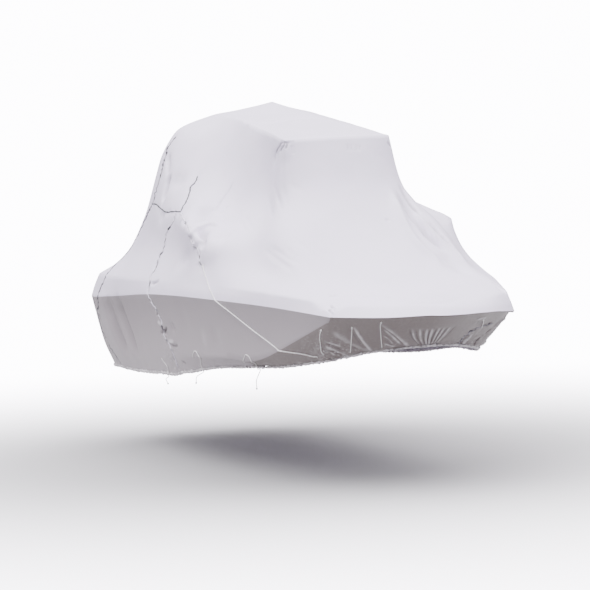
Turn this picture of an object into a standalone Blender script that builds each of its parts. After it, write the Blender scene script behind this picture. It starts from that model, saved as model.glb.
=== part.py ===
"""A fitted boat cover of heat-shrunk white film, hanging as it does over a sport boat on its trailer.

Metres, +Z up, +X towards the bow and +Y to port. The origin is under the top, on the middle hoop.
The film is a hollow shell: a tent-like top over three hoops, sides that draw in between the top and
the deck edge, a rail band, and a skirt that ends in a rolled hem. Its panels are welded edge to
edge, and short ties and a side cord lie on the skirt. The boat and the hoops that carry the film
are not part of it.
"""

from collections import namedtuple

import bmesh
import bpy
import numpy as np
from mathutils import Vector
from mathutils.bvhtree import BVHTree

for old in list(bpy.data.objects):
    bpy.data.objects.remove(old, do_unlink=True)

# Sizes of the film.
FILM_THICKNESS = 0.003
SEAM_GAP = 0.0009
ROLL_OUT = 0.015  # how far the hem's roll stands out of the skirt
ROLL_UP = 0.020
ROLL_LOW_OUT, ROLL_DROP = 0.012, 0.006  # where the roll's lower edge lies, out from the hem and under it
FILM_ROUGHNESS = 0.42

# Heights in the tables are above the ground under the trailer, and lengths along the boat are from
# the trailer's front axle. The origin of the cover is the underside of the top on the middle hoop.
HOOP = Vector((0.26, 0.0, 2.893))
LEAN = 0.034  # how much higher the cover stands for each metre to port
PEAK = np.array((-0.42, 0.12, 3.048))  # where the top is propped highest
TOP_RINGS = (0.82, 0.6, 0.38, 0.17)  # rings of the top, as shares of the way from the peak to its edge
TOP_SAG = 0.009

# One row for each rib of the starboard half, from the bow round to the stern. A rib runs down the
# film from the edge of the top, over the waist at the height of the windshield, to the deck edge,
# the lip and the underside of the rail, the chine and the hem. The two hollows are how far the film
# draws in above and below the waist. A corner of 1 is sharp, and steps are the columns of faces to
# the next rib.
Rib = namedtuple(
    "Rib",
    "name top waist deck lip rail chine hem hollow_up hollow_at hollow_low"
    " corner_top corner_waist corner_rail steps",
)
RIBS = (
    Rib("nose",
        (1.51, 0.00, 2.638), (2.10, 0.00, 1.93), (3.38, 0.00, 1.392), (3.47, 0.00, 1.332),
        (3.50, 0.00, 1.300), (3.44, 0.00, 1.255), (3.05, 0.00, 1.055),
        0.07, 0.5, 0.12, 0, 0, 0, 4),
    Rib("bow",
        (1.51, -0.24, 2.638), (2.08, -0.32, 1.93), (3.28, -0.38, 1.392), (3.36, -0.39, 1.335),
        (3.39, -0.40, 1.300), (3.33, -0.39, 1.252), (2.95, -0.33, 1.035),
        0.07, 0.5, 0.12, 0, 0, 0, 4),
    Rib("bow_corner",
        (1.50, -0.44, 2.635), (1.98, -0.62, 1.93), (3.07, -0.70, 1.418), (3.13, -0.71, 1.352),
        (3.15, -0.72, 1.320), (3.10, -0.705, 1.268), (2.76, -0.60, 0.980),
        0.12, 0.5, 0.10, 1, 0, 1, 5),
    Rib("cheek",
        (1.12, -0.42, 2.705), (1.60, -0.80, 1.91), (2.45, -0.89, 1.480), (2.47, -0.90, 1.430),
        (2.48, -0.91, 1.385), (2.38, -0.87, 1.010), (2.30, -0.78, 0.930),
        0.20, 0.5, 0.06, 0, 0, 0, 5),
    Rib("windshield",
        (0.72, -0.40, 2.780), (1.39, -1.02, 1.915), (1.65, -1.10, 1.540), (1.67, -1.12, 1.490),
        (1.67, -1.13, 1.440), (1.66, -1.04, 0.980), (1.66, -0.92, 0.912),
        0.235, 0.58, 0.03, 0, 1, 0, 6),
    Rib("beam",
        (0.26, -0.385, 2.862), (0.28, -1.01, 2.12), (0.30, -1.22, 1.570), (0.30, -1.24, 1.510),
        (0.30, -1.25, 1.462), (0.36, -1.17, 0.980), (0.40, -1.08, 0.800),
        0.05, 0.5, 0.05, 0, 0, 0, 6),
    Rib("hoop",
        (-0.445, -0.39, 2.966), (-0.60, -0.96, 2.17), (-0.75, -1.235, 1.580), (-0.75, -1.25, 1.500),
        (-0.75, -1.26, 1.425), (-0.71, -1.17, 0.960), (-0.68, -1.07, 0.750),
        -0.17, 0.34, 0.06, 0.5, 0, 0, 5),
    Rib("quarter",
        (-0.62, -0.34, 2.975), (-0.92, -0.89, 2.20), (-1.74, -1.16, 1.600), (-1.77, -1.20, 1.480),
        (-1.78, -1.22, 1.395), (-1.70, -1.12, 0.950), (-1.62, -1.02, 0.738),
        -0.2, 0.34, 0.12, 0.5, 0, 0, 3),
    Rib("stern_corner",
        (-0.64, -0.20, 2.985), (-1.10, -0.70, 2.24), (-2.22, -1.00, 1.600), (-2.29, -1.04, 1.480),
        (-2.31, -1.06, 1.390), (-2.22, -0.99, 0.950), (-2.14, -0.92, 0.720),
        0.00, 0.5, 0.14, 0, 0, 0, 4),
    Rib("stern_side",
        (-0.64, -0.10, 2.990), (-1.20, -0.38, 2.24), (-2.40, -0.56, 1.600), (-2.47, -0.58, 1.480),
        (-2.49, -0.59, 1.390), (-2.41, -0.57, 0.950), (-2.33, -0.55, 0.720),
        0.02, 0.5, 0.14, 0, 0, 0, 4),
    Rib("stern",
        (-0.64, 0.00, 2.992), (-1.22, 0.00, 2.24), (-2.42, 0.00, 1.600), (-2.49, 0.00, 1.480),
        (-2.51, 0.00, 1.390), (-2.43, 0.00, 0.950), (-2.35, 0.00, 0.720),
        0.02, 0.5, 0.14, 0, 0, 0, 0),
)
UP_STEPS = 7
LOW_STEPS = 6
SKIRT_STEPS = 2

# Where a tie pulls the hem down: along the boat, how deep and how far to each side.
Pull = namedtuple("Pull", "along depth reach")
HEM_PULLS = (Pull(0.36, 0.035, 0.09), Pull(0.86, 0.012, 0.08), Pull(1.72, 0.016, 0.08))


def drawn_in(above, below, share, depth):
    """A point part of the way down a stretch of film, drawn in from the straight line by a depth."""
    chord = below - above
    out = np.array((chord[0], chord[1], 0.0))
    run = np.linalg.norm(out)
    inward = out * chord[2] / run - np.array((0.0, 0.0, run))
    return above + chord * share + inward / np.linalg.norm(inward) * depth


def smooth_line(knots, corners, steps, closed):
    """Points along a smooth curve through knots, which turns sharply where a corner is 1."""
    knots = np.asarray(knots, float)
    count = len(knots)
    spans = count if closed else count - 1
    chords = [knots[(i + 1) % count] - knots[i] for i in range(spans)]
    reach = [max(np.linalg.norm(chord), 1e-9) for chord in chords]

    def slope(knot, span):
        """The curve's direction at a knot, for one metre, seen from the span beside it."""
        own = chords[span] / reach[span]
        if not closed and knot in (0, count - 1):
            return own
        before, after = (knot - 1) % spans, knot % spans
        share = reach[before] / (reach[before] + reach[after])
        blend = chords[before] / reach[before] * (1 - share) + chords[after] / reach[after] * share
        return blend + (own - blend) * corners[knot % count]

    line = []
    for span in range(spans):
        start, end = knots[span], knots[(span + 1) % count]
        leave = slope(span, span) * reach[span]
        arrive = slope(span + 1, span) * reach[span]
        for step in range(steps[span]):
            t = step / steps[span]
            line.append(
                (2 * t**3 - 3 * t**2 + 1) * start
                + (t**3 - 2 * t**2 + t) * leave
                + (3 * t**2 - 2 * t**3) * end
                + (t**3 - t**2) * arrive
            )
    if not closed:
        line.append(knots[-1])
    return np.array(line)


def rib_line(rib):
    """The points down one rib, from the edge of the top to the hem."""
    levels = (rib.top, rib.waist, rib.deck, rib.lip, rib.rail, rib.chine, rib.hem)
    top, waist, deck, lip, rail, chine, hem = (np.array(level) for level in levels)
    fall = smooth_line(
        (
            top,
            drawn_in(top, waist, rib.hollow_at, rib.hollow_up),
            waist,
            drawn_in(waist, deck, 0.5, rib.hollow_low),
            deck,
        ),
        (0, 0, rib.corner_waist, 0, 0),
        (UP_STEPS - UP_STEPS // 2, UP_STEPS // 2, LOW_STEPS // 2, LOW_STEPS - LOW_STEPS // 2),
        False,
    )
    skirt = smooth_line((rail, chine, hem), (0, 1, 0), (SKIRT_STEPS, SKIRT_STEPS), False)
    return np.vstack((fall, lip[None], skirt))


def corner_shares(row):
    """How much of the top's corners and of the rail's corners one row of the film keeps."""
    if row <= UP_STEPS:
        return max(0.0, 1 - 2.0 * row / UP_STEPS), 0.0
    return 0.0, min(1.0, (row - UP_STEPS) / LOW_STEPS)


def side_rings():
    """The film below its top as rings round the boat, from the edge of the top to the hem."""
    starboard = [rib_line(rib) for rib in RIBS]
    port = [line * (1, -1, 1) for line in starboard[-2:0:-1]]
    ribs = RIBS + RIBS[-2:0:-1]
    steps = [rib.steps for rib in RIBS[:-1]] + [rib.steps for rib in RIBS[-2::-1]]
    rings = []
    for row, knots in enumerate(zip(*(starboard + port))):
        top_share, rail_share = corner_shares(row)
        corners = [rib.corner_top * top_share + rib.corner_rail * rail_share for rib in ribs]
        rings.append(smooth_line(knots, corners, steps, True))
    return rings


def top_rings(edge):
    """The top as rings that close on its peak, the innermost first."""
    rings = []
    for share in sorted(TOP_RINGS):
        ring = PEAK + share * (edge - PEAK)
        ring[:, 2] -= TOP_SAG * 4 * share * (1 - share)
        rings.append(ring)
    return rings


def pulled(hem):
    """The hem's ring with its starboard side drawn down at the ties."""
    for pull in HEM_PULLS:
        near = np.exp(-(((hem[:, 0] - pull.along) / pull.reach) ** 2)) * (hem[:, 1] < 0)
        hem[:, 2] -= pull.depth * near
    return hem


def rolled(hem, above):
    """The two rings of the hem's roll, which turns out and up."""
    fall = hem - above
    out = np.cross(np.roll(hem, -1, 0) - np.roll(hem, 1, 0), fall)
    out /= np.linalg.norm(out, axis=1)[:, None]
    up = -fall / np.linalg.norm(fall, axis=1)[:, None]
    return [hem + out * ROLL_LOW_OUT - up * ROLL_DROP, hem + out * ROLL_OUT + up * ROLL_UP]


rings = side_rings()
rings[-1] = pulled(rings[-1])
top = top_rings(rings[0])
TOP_ROWS = len(top)
rings = np.array(top + rings + rolled(rings[-1], rings[-2]))
rings[:, :, 2] += LEAN * rings[:, :, 1]
rings -= np.array(HOOP)
peak = PEAK + np.array((0, 0, LEAN * PEAK[1])) - np.array(HOOP)
ROWS, COLUMNS = rings.shape[:2]
first_columns = np.cumsum([0] + [rib.steps for rib in RIBS[:-1]]).tolist()
column_of = {rib.name: column for rib, column in zip(RIBS, first_columns)}

# The cells of the film, as rows and columns of faces, and the panel that each belongs to.
STERN = range(column_of["quarter"], COLUMNS - column_of["quarter"])
QUARTER = range(column_of["beam"], column_of["quarter"])
WAIST_ROW = TOP_ROWS + UP_STEPS


def panel_of(row, column):
    """The name of the panel that holds a cell."""
    if row >= TOP_ROWS and column in STERN:
        return "stern_film"
    if row >= WAIST_ROW and column in QUARTER:
        return "quarter_film"
    return "main_film"


def corner_ids(row, column):
    """The four points of a cell, in the order that faces out. The cells of row -1 close on the peak."""
    after = (column + 1) % COLUMNS
    lower = [(row + 1) * COLUMNS + after, (row + 1) * COLUMNS + column]
    if row < 0:
        return [ROWS * COLUMNS] + lower
    return [row * COLUMNS + column, row * COLUMNS + after] + lower


def halves(ids):
    """A cell's two triangles, or its one on the peak."""
    return [ids] if len(ids) == 3 else [ids[:3], [ids[0], ids[2], ids[3]]]


cells = {
    (row, column): corner_ids(row, column) for row in range(-1, ROWS - 1) for column in range(COLUMNS)
}
points = np.vstack((rings.reshape(-1, 3), peak[None]))

surface = bmesh.new()
corners = [surface.verts.new(point) for point in points]
for ids in cells.values():
    surface.faces.new([corners[i] for i in ids])
surface.normal_update()
normals = np.array([vert.normal for vert in corners])
surface.free()
HEM_ROW = ROWS - 3  # the ring of points along the hem, above the two of its roll
film_tree = BVHTree.FromPolygons(
    points.tolist(), [half for (row, _), ids in cells.items() if row < HEM_ROW for half in halves(ids)]
)


def film_panel(name, colour):
    """One welded panel: its outer and inner faces, with walls along its seams and its hem."""
    own = [ids for cell, ids in cells.items() if panel_of(*cell) == name]
    uses = set()
    middles = {}
    for ids in own:
        centre = points[ids].mean(axis=0)
        for i, corner in enumerate(ids):
            middles.setdefault(corner, []).append(centre)
            uses.add((corner, ids[(i + 1) % len(ids)]))
    rim = [edge for edge in uses if edge[::-1] not in uses]
    seams = {corner for edge in rim for corner in edge}
    mesh = bmesh.new()
    outer, inner = {}, {}
    for corner in middles:
        place = points[corner].copy()
        if corner in seams:
            inside = np.mean(middles[corner], axis=0) - place
            place += inside / np.linalg.norm(inside) * SEAM_GAP / 2
        outer[corner] = mesh.verts.new(place)
        inner[corner] = mesh.verts.new(place - normals[corner] * FILM_THICKNESS)
    for half in [half for ids in own for half in halves(ids)]:
        mesh.faces.new([outer[i] for i in half])
        mesh.faces.new([inner[i] for i in reversed(half)])
    for a, b in rim:
        mesh.faces.new((outer[b], outer[a], inner[a], inner[b]))
    return finished(name, mesh, colour, FILM_ROUGHNESS)


def finished(name, mesh, colour, roughness):
    """An object of its own material from a bmesh."""
    data = bpy.data.meshes.new(name)
    mesh.to_mesh(data)
    mesh.free()
    data.shade_smooth()
    data.materials.append(material(name, colour, roughness))
    piece = bpy.data.objects.new(name, data)
    bpy.context.scene.collection.objects.link(piece)
    return piece


def material(name, colour, roughness):
    """A plain finish of one colour."""
    finish = bpy.data.materials.new(name)
    finish.use_nodes = True
    shader = finish.node_tree.nodes["Principled BSDF"]
    shader.inputs["Base Color"].default_value = (*colour, 1.0)
    shader.inputs["Roughness"].default_value = roughness
    return finish


panels = [
    film_panel("main_film", (0.83, 0.82, 0.85)),
    film_panel("quarter_film", (0.82, 0.81, 0.85)),
    film_panel("stern_film", (0.81, 0.80, 0.83)),
]


def tree_of(pieces):
    """A search tree of the faces of several pieces."""
    places, faces = [], []
    for piece in pieces:
        first = len(places)
        places += [vert.co for vert in piece.data.vertices]
        piece.data.calc_loop_triangles()
        faces += [[first + i for i in face.vertices] for face in piece.data.loop_triangles]
    return BVHTree.FromPolygons(places, faces)


solid_tree = tree_of(panels)

# The cords that lie on the film, as points in metres from the cover's origin. The points on the film
# are set on its surface. A tie then runs out over the roll of the hem, and its hanging points follow.
# A knot is at the start or the end.
SIDE_CORD = 0.009
TIE_CORD = 0.006
CORD_GAP = 0.0006
CORD_STEP = 2.7  # distance between a cord's points, in diameters
CLEARING_PASSES, CLEARING_DONE = 40, 0.00001
CORD_COLOUR, CORD_ROUGHNESS = (0.86, 0.85, 0.84), 0.6
KNOT = ((0.0, 1.0), (0.003, 1.9), (0.008, 2.3), (0.013, 1.9), (0.016, 0.8))  # distance along, width share
Cord = namedtuple("Cord", "name diameter on_film hanging knot")
CORDS = (
    Cord("side_cord", SIDE_CORD,
         ((1.076, -1.095, -1.229), (1.143, -1.100, -1.283), (1.313, -1.117, -1.396), (1.398, -1.123, -1.444),
          (1.450, -1.119, -1.485), (1.485, -1.112, -1.503), (1.642, -1.060, -1.578), (1.835, -0.991, -1.677),
          (2.012, -0.926, -1.766), (2.153, -0.875, -1.836), (2.196, -0.859, -1.857), (2.354, -0.760, -1.876),
          (2.422, -0.691, -1.891), (2.460, -0.660, -1.897)),
         (), None),
    Cord("hem_tie_1", TIE_CORD,
         ((-0.007, -1.147, -2.012), (0.013, -1.127, -2.050), (0.040, -1.112, -2.078),
          (0.027, -1.100, -2.108)),
         ((-0.025, -1.112, -2.190), (0.012, -1.108, -2.222)), "end"),
    Cord("hem_tie_2", TIE_CORD,
         ((0.803, -1.111, -1.966), (0.845, -1.123, -1.929), (0.874, -1.123, -1.913), (0.905, -1.119, -1.914),
          (0.932, -1.112, -1.938), (0.939, -1.097, -1.966), (0.844, -1.060, -2.012), (0.800, -1.045, -2.036)),
         ((0.690, -1.055, -2.130), (0.665, -1.055, -2.178)), "end"),
    Cord("hem_tie_3", TIE_CORD,
         ((1.650, -0.957, -1.953), (1.709, -0.976, -1.924), (1.727, -0.975, -1.907), (1.748, -0.969, -1.906),
          (1.781, -0.957, -1.926), (1.779, -0.922, -1.962), (1.725, -0.890, -1.986)),
         ((1.650, -0.868, -2.110), (1.645, -0.866, -2.170)), "end"),
    Cord("bow_tie_1", TIE_CORD,
         ((2.721, -0.728, -1.699), (2.671, -0.719, -1.734), (2.598, -0.688, -1.799), (2.541, -0.661, -1.853),
          (2.532, -0.645, -1.873)),
         (), "start"),
    Cord("bow_tie_2", TIE_CORD,
         ((2.908, -0.562, -1.681), (2.807, -0.528, -1.754), (2.733, -0.504, -1.808), (2.650, -0.480, -1.865)),
         (), "start"),
    Cord("bow_tie_3", TIE_CORD,
         ((3.074, -0.405, -1.645), (3.043, -0.399, -1.666), (2.952, -0.361, -1.723), (2.775, -0.285, -1.829)),
         (), "start"),
    Cord("bow_tie_4", TIE_CORD,
         ((3.037, 0.400, -1.641), (2.940, 0.439, -1.679), (2.836, 0.473, -1.724)),
         (), "start"),
)


def on_surface(point, height):
    """The point at a height above the film, straight out from it, nearest to this one."""
    place, normal, _, _ = film_tree.find_nearest(point)
    return np.array(place + normal * height)


def over_roll(point, radius):
    """Two points that take a cord over the roll of the hem, where the hem is nearest to this point."""
    below, above = rings[HEM_ROW], rings[HEM_ROW - 1]
    runs = np.roll(below, -1, axis=0) - below
    shares = np.clip(((point - below) * runs).sum(axis=1) / (runs**2).sum(axis=1), 0, 1)[:, None]
    hems = below + runs * shares
    near = np.linalg.norm(hems - point, axis=1).argmin()
    hem = hems[near]
    up = (above + (np.roll(above, -1, axis=0) - above) * shares)[near] - hem
    up /= np.linalg.norm(up)
    out = np.array(film_tree.find_nearest(hem + up * ROLL_UP)[1])
    height = ROLL_OUT + FILM_THICKNESS + radius + CORD_GAP
    return [hem + out * height + up * (ROLL_UP + radius), hem + out * height - up * radius]


def way_out(spot):
    """How far a spot is from the film's solids, below zero inside one, and the direction out."""
    place, normal, _, far = solid_tree.find_nearest(spot)
    away = Vector(spot) - place
    if far > FILM_THICKNESS / 2:
        return far, np.array(away / far)
    return away.dot(normal), np.array(normal)


def cleared(line, heights):
    """The line moved out wherever it is less than its heights above the film's solids."""
    shares = ((1.0, 0.0), (0.75, 0.25), (0.5, 0.5), (0.25, 0.75))
    for _ in range(CLEARING_PASSES):
        moves = np.zeros_like(line)
        for i in range(len(line)):
            after = min(i + 1, len(line) - 1)
            for own, other in shares:
                spot = line[i] * own + line[after] * other
                far, out = way_out(spot)
                short = heights[i] * own + heights[after] * other - far
                for j in (i, after):
                    if short > np.linalg.norm(moves[j]):
                        moves[j] = out * short
        line = line + moves
        if np.abs(moves).max() < CLEARING_DONE:
            break
    return line


def knotted(line, where):
    """A cord's points and their width shares, with a knot's points added at its start or its end."""
    if where is None:
        return line, np.ones(len(line))
    ordered = line if where == "end" else line[::-1]
    along = (ordered[-1] - ordered[-2]) / np.linalg.norm(ordered[-1] - ordered[-2])
    knot = [ordered[-1] + along * distance for distance, _ in KNOT]
    whole = np.vstack((ordered[:-1], knot))
    shares = np.concatenate((np.ones(len(ordered) - 1), [share for _, share in KNOT]))
    return (whole, shares) if where == "end" else (whole[::-1], shares[::-1])


def cord_piece(cord):
    """A round cord along its route, clear of the film by the small gap."""
    radius = cord.diameter / 2
    height = radius + CORD_GAP
    knots = [on_surface(point, height) for point in cord.on_film]
    if cord.hanging:
        knots += over_roll(knots[-1], radius) + [np.array(point) for point in cord.hanging]
    spans = [np.linalg.norm(b - a) for a, b in zip(knots, knots[1:])]
    steps = [max(1, round(span / (cord.diameter * CORD_STEP))) for span in spans]
    line = smooth_line(knots, (0,) * len(knots), steps, False)
    lying = sum(steps[: len(cord.on_film) - 1]) + 1
    line[:lying] = [on_surface(point, height) for point in line[:lying]]
    line, shares = knotted(line, cord.knot)
    line = cleared(line, radius * shares + CORD_GAP)
    curve = bpy.data.curves.new(cord.name, "CURVE")
    curve.dimensions = "3D"
    curve.bevel_depth = radius
    curve.bevel_resolution = 2
    curve.use_fill_caps = True
    spline = curve.splines.new("POLY")
    spline.points.add(len(line) - 1)
    for spot, place, share in zip(spline.points, line, shares):
        spot.co = (*place, 1.0)
        spot.radius = share
    curve.materials.append(material(cord.name, CORD_COLOUR, CORD_ROUGHNESS))
    piece = bpy.data.objects.new(cord.name, curve)
    bpy.context.scene.collection.objects.link(piece)
    return piece


for cord in CORDS:
    cord_piece(cord)
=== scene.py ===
"""A fitted boat cover of white heat-shrunk film, with its welds, rolled hem, side cord and ties.

Metres, +Z up, +X towards the bow, +Y to port. The origin is under the top, at the middle hoop.
"""

import math
from collections import namedtuple

import bmesh
import bpy
import numpy as np
from mathutils import Matrix, Vector, noise
from mathutils.bvhtree import BVHTree


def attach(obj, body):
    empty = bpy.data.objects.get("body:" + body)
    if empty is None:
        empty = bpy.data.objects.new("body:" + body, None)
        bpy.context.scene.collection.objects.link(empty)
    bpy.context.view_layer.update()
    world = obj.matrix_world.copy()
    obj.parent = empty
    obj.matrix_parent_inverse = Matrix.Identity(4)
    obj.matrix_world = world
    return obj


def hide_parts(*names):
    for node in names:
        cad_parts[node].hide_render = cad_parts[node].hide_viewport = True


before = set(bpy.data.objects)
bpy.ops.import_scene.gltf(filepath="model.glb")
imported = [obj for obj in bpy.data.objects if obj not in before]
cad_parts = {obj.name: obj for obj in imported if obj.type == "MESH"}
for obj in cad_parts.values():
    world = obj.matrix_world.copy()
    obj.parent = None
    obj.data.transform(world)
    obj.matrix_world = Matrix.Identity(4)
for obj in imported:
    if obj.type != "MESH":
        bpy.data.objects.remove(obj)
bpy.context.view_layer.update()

# The view from ahead and to starboard, a little above the rail's height, through a long lens.
CAMERA_PLACE = Vector((16.1915, -5.6516, -0.9523))
CAMERA_YAW, CAMERA_DIP, CAMERA_ROLL = (math.radians(angle) for angle in (160.622, 1.936, 1.716))
PICTURE_SIDE, FOCAL_PIXELS = 590, 2014.97


def placed(name, data):
    """An object in the scene, from its mesh, camera or light."""
    made = bpy.data.objects.new(name, data)
    bpy.context.scene.collection.objects.link(made)
    return made


flat_run = math.cos(CAMERA_DIP)
ahead = Vector((math.cos(CAMERA_YAW) * flat_run, math.sin(CAMERA_YAW) * flat_run, -math.sin(CAMERA_DIP)))
level = Vector((math.sin(CAMERA_YAW), -math.cos(CAMERA_YAW), 0.0))
across = Matrix.Rotation(CAMERA_ROLL, 3, ahead) @ level
lens = bpy.data.cameras.new("camera")
lens.sensor_width = 36.0
lens.lens = FOCAL_PIXELS / PICTURE_SIDE * lens.sensor_width
lens.clip_end = 300.0
camera = placed("camera", lens)
axes = Matrix((across, across.cross(ahead), -ahead)).transposed()
camera.matrix_world = Matrix.LocRotScale(CAMERA_PLACE, axes.to_quaternion(), None)
bpy.context.scene.camera = camera

# The film: three panels of white shrink film, drawn over the boat's hoops and rail, welded together with
# a hot iron and shrunk tight with a torch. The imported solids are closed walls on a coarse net, so their
# outer faces are taken, joined along the seams, and rounded except where the film is creased.
PANELS = ("main_film", "quarter_film", "stern_film")
UPPER, QUARTER, STERN, SKIRT = range(4)
BELOW_RAIL = 4  # added to a panel's number under the rail
INSIDE = Vector((0.3, 0.0, -1.2))  # a point in the hollow
SAME_POINT, SEAM_REACH = 0.00005, 0.002
WALL_EDGE, ROLL_EDGE = 0.0035, 0.028  # only the solids' walls, and their roll, have edges under these
SKIRT_TOP = -1.2
SOFT_TURN, HARD_TURN = math.radians(20), math.radians(45)  # from here to here an edge grows sharp
ROUNDING = 2


def least_edge(face):
    return min(edge.calc_length() for edge in face.edges)


def outer_face(node):
    """One panel's outer face, as a bmesh of mostly four-sided faces."""
    mesh = bmesh.new()
    mesh.from_mesh(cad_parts[node].data)
    bmesh.ops.remove_doubles(mesh, verts=mesh.verts, dist=SAME_POINT)
    walls = [face for face in mesh.faces if least_edge(face) < WALL_EDGE]
    bmesh.ops.delete(mesh, geom=walls, context="FACES")
    mesh.faces.index_update()
    waiting = set(mesh.faces)
    while waiting:
        layer = [min(waiting, key=lambda face: face.index)]
        waiting -= set(layer)
        for face in layer:
            touching = {other for edge in face.edges for other in edge.link_faces} & waiting
            waiting -= touching
            layer += sorted(touching, key=lambda other: other.index)
        outward = sum(
            face.calc_area() * face.normal.dot(face.calc_center_median() - INSIDE) for face in layer
        )
        if outward < 0:
            bmesh.ops.delete(mesh, geom=layer, context="FACES")
    low = [face for face in mesh.faces if face.calc_center_median().z < SKIRT_TOP]
    roll = [face for face in low if least_edge(face) < ROLL_EDGE]
    bmesh.ops.delete(mesh, geom=roll, context="FACES")
    peak = max(mesh.verts, key=lambda vert: len(vert.link_edges))
    bmesh.ops.join_triangles(
        mesh,
        faces=[face for face in mesh.faces if peak not in face.verts],
        angle_face_threshold=math.pi,
        angle_shape_threshold=math.pi,
        topology_influence=1.5,
    )
    return mesh


def data_of(name, mesh):
    """A mesh from a bmesh, which is freed."""
    data = bpy.data.meshes.new(name)
    mesh.to_mesh(data)
    mesh.free()
    return data


def rounded(mesh, levels):
    """A bmesh after some levels of Subdivision Surface."""
    shape = placed("rounding", data_of("rounding", mesh))
    rounding = shape.modifiers.new("rounding", "SUBSURF")
    rounding.levels = rounding.render_levels = levels
    result = bmesh.new()
    result.from_object(shape, bpy.context.evaluated_depsgraph_get())
    bpy.data.objects.remove(shape)
    return result


skin = bmesh.new()
for panel, node in enumerate(PANELS):
    first = len(skin.faces)
    skin.from_mesh(data_of(node + "_face", outer_face(node)))
    skin.faces.ensure_lookup_table()
    for face in skin.faces[first:]:
        face.material_index = panel
bmesh.ops.remove_doubles(skin, verts=skin.verts, dist=SEAM_REACH)
creases = skin.edges.layers.float.new("crease_edge")
for edge in skin.edges:
    turn = edge.calc_face_angle(0.0)
    edge[creases] = min(1.0, max(0.0, (turn - SOFT_TURN) / (HARD_TURN - SOFT_TURN)))

# The rows of the net are counted up from the hem. They hold the chine, where the film turns under the
# hull, the rail's lower crease, the lip over it and the edge of the deck.
CHINE_ROW, RAIL_ROW, LIP_ROW, DECK_ROW = 2, 4, 5, 6
PAST_ROWS = 99
rows_up = {vert: 0 for vert in skin.verts if vert.is_boundary}
for row in range(1, DECK_ROW + 1):
    for vert in [vert for vert in rows_up if rows_up[vert] == row - 1]:
        for edge in vert.link_edges:
            rows_up.setdefault(edge.other_vert(vert), row)


def rows_of(piece):
    """The rows that an edge's or a face's points lie on."""
    return [rows_up.get(vert, PAST_ROWS) for vert in piece.verts]


above = {}
for edge in skin.edges:
    for vert, row, other_row in zip(edge.verts, rows_of(edge), reversed(rows_of(edge))):
        if other_row == row + 1:
            above[vert] = edge.other_vert(vert)

# Across the bow the lip rises towards the deck, and the deck's edge dips to it at the starboard corner.
BOW_FACE = 2.85  # ahead of this the rail runs across the bow
LIP_YS, LIP_RISES = (-0.71, -0.62, -0.2, 0.0, 0.3), (0.0, 0.45, 0.4, 0.2, 0.0)
BOW_CORNER, DIP, DIP_REACH = Vector((2.81, -0.70, -1.50)), 0.8, 0.13
for vert in [vert for vert in above if rows_up[vert] == LIP_ROW]:
    deck_edge = above[vert]
    dip = DIP * math.exp(-(((deck_edge.co - BOW_CORNER).length / DIP_REACH) ** 2))
    rise_share = float(np.interp(vert.co.y, LIP_YS, LIP_RISES)) if vert.co.x > BOW_FACE else 0.0
    lip = vert.co.lerp(deck_edge.co, rise_share)
    deck_edge.co = deck_edge.co.lerp(vert.co, dip)
    vert.co = lip

# The port corner of the bow hangs lower, so the rows come down towards it along the side and the bow.
DROP_FROM, DROP_SIDE = 2.2, 0.6  # how far forward, and on the side how far to port, the drop begins
DROP_YS, DROPS = (-0.1, 0.0, 0.3, 0.48, 0.6, 0.72), (0.004, 0.012, 0.016, 0.026, 0.044, 0.064)
DROP_SHARES = (0.0, 0.5, 1.0, 1.0, 1.0, 0.7, 0.35)  # of each row, from the hem up
for vert in [vert for vert in rows_up if vert.co.y > DROP_YS[0] and vert.co.x > DROP_FROM]:
    on_bow = vert.co.x > BOW_FACE
    along_side = (vert.co.x - DROP_FROM) / (BOW_FACE - DROP_FROM)
    drop = np.interp(vert.co.y, DROP_YS, DROPS) if on_bow else DROPS[-1] * along_side
    if on_bow or vert.co.y > DROP_SIDE:
        vert.co.z -= float(drop) * DROP_SHARES[rows_up[vert]]

# The chine is a straight crease that runs up to the rail at the bow.
CHINE_XS, CHINE_ZS = (1.66, 2.0, 2.89), (-1.985, -1.916, -1.616)
CHINE_SIDE, LEAN = 0.8, 0.034  # its heights hold so far to starboard, and grow by so much to port
LOW_LIFT, HIGH_LIFT, BOW_LIFT = -0.05, 0.95, 0.8  # shares of the way up to the rail
MIDDLE_SHARE, LEAST_RISE = 0.6, 0.01
lifts = {}
for vert in [vert for vert in above if rows_up[vert] == CHINE_ROW and vert.co.x > CHINE_XS[0]]:
    rail = above[above[vert]].co
    wanted_z = np.interp(vert.co.x, CHINE_XS, CHINE_ZS) + LEAN * (vert.co.y + CHINE_SIDE)
    share = (wanted_z - vert.co.z) / max(rail.z - vert.co.z, LEAST_RISE)
    lifts[vert] = BOW_LIFT if vert.co.x > BOW_FACE else float(min(HIGH_LIFT, max(LOW_LIFT, share)))
for vert, share in lifts.items():
    middle = above[vert]
    rail = above[middle]
    vert.co = vert.co.lerp(rail.co, share)
    middle.co = middle.co.lerp(rail.co, max(0.0, share) * MIDDLE_SHARE)

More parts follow.
